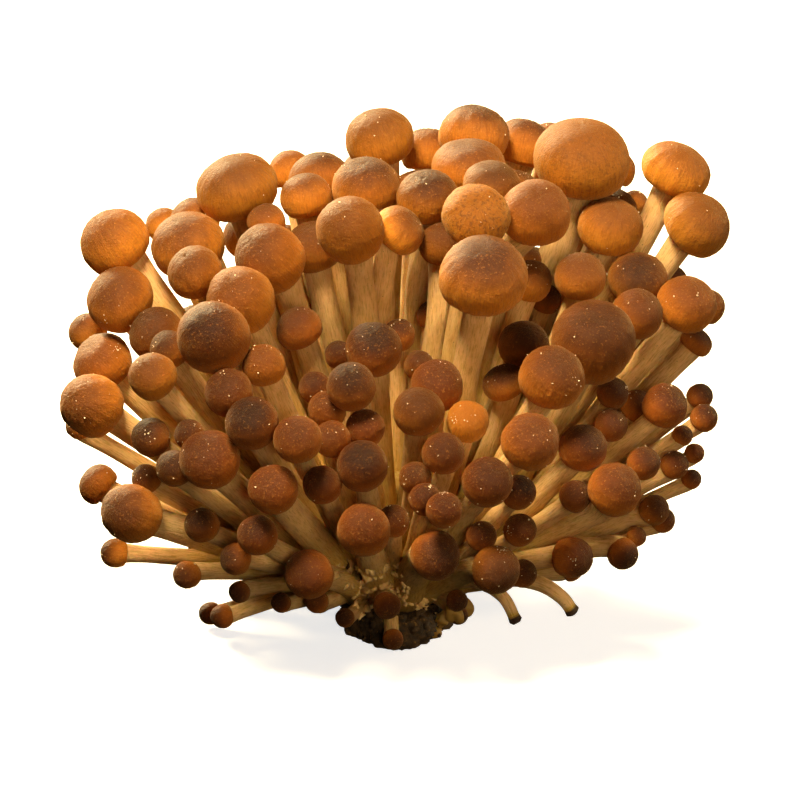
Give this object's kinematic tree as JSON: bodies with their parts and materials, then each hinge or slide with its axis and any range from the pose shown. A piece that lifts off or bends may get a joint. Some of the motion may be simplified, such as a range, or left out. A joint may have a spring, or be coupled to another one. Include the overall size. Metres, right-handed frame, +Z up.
{
  "type": "pioppino mushroom cluster",
  "caption": "Domed cluster of brown-capped edible mushrooms on cream stems, standing on the flat cut face of its substrate.",
  "frame": {"origin": "centre of the flat cut face under the substrate plug", "axes": "+Z up along the stems; -Y towards the front, where the low skirt of small caps is; +X to the right seen from the front"},
  "size_m": [0.1659, 0.1437, 0.1262],
  "materials": {
    "substrate": "damp, crumbly dark soil and bark bound by mycelium",
    "stem_flesh": "matte cream stem with fine lengthwise fibres and small dark flecks",
    "cap_golden": "velvety golden brown cap skin with fine radial fibres and a pale thin rim",
    "cap_chestnut": "velvety chestnut cap skin, darker at the centre, with fine radial fibres and a pale thin rim"
  },
  "bodies": {
    "root": {"cap_crown_01": "cap_golden", "cap_crown_02": "cap_golden", "cap_crown_03": "cap_golden", "cap_crown_04": "cap_golden", "cap_crown_05": "cap_golden", "cap_crown_06": "cap_golden", "cap_crown_07": "cap_golden", "cap_crown_08": "cap_golden", "cap_crown_09": "cap_golden", "cap_crown_10": "cap_golden", "cap_crown_11": "cap_golden", "cap_crown_12": "cap_golden", "cap_crown_13": "cap_golden", "cap_crown_14": "cap_golden", "cap_crown_15": "cap_golden", "cap_crown_16": "cap_golden", "cap_crown_17": "cap_golden", "cap_crown_18": "cap_golden", "cap_front_01": "cap_chestnut", "cap_front_02": "cap_chestnut", "cap_front_03": "cap_chestnut", "cap_front_04": "cap_chestnut", "cap_front_05": "cap_chestnut", "cap_rear_01": "cap_chestnut", "cap_rear_02": "cap_chestnut", "cap_rear_03": "cap_chestnut", "cap_rear_04": "cap_chestnut", "cap_rear_05": "cap_chestnut", "cap_rear_06": "cap_chestnut", "cap_rear_07": "cap_chestnut", "cap_rear_08": "cap_chestnut", "cap_rear_09": "cap_chestnut", "cap_rear_10": "cap_chestnut", "cap_rear_11": "cap_chestnut", "cap_rear_12": "cap_chestnut", "cap_rear_13": "cap_chestnut", "cap_shoulder_01": "cap_chestnut", "cap_shoulder_02": "cap_chestnut", "cap_shoulder_03": "cap_chestnut", "cap_shoulder_04": "cap_chestnut", "cap_shoulder_05": "cap_chestnut", "cap_shoulder_06": "cap_chestnut", "cap_shoulder_07": "cap_chestnut", "cap_shoulder_08": "cap_chestnut", "cap_shoulder_09": "cap_chestnut", "cap_shoulder_10": "cap_chestnut", "cap_shoulder_11": "cap_chestnut", "cap_shoulder_12": "cap_chestnut", "cap_shoulder_13": "cap_chestnut", "cap_skirt_01": "cap_chestnut", "stem_clump_1": "stem_flesh", "stem_clump_2": "stem_flesh", "stem_clump_3": "stem_flesh", "stem_clump_4": "stem_flesh", "stem_clump_5": "stem_flesh", "stem_clump_6": "stem_flesh", "substrate_plug": "substrate"}
  },
  "joints": []
}
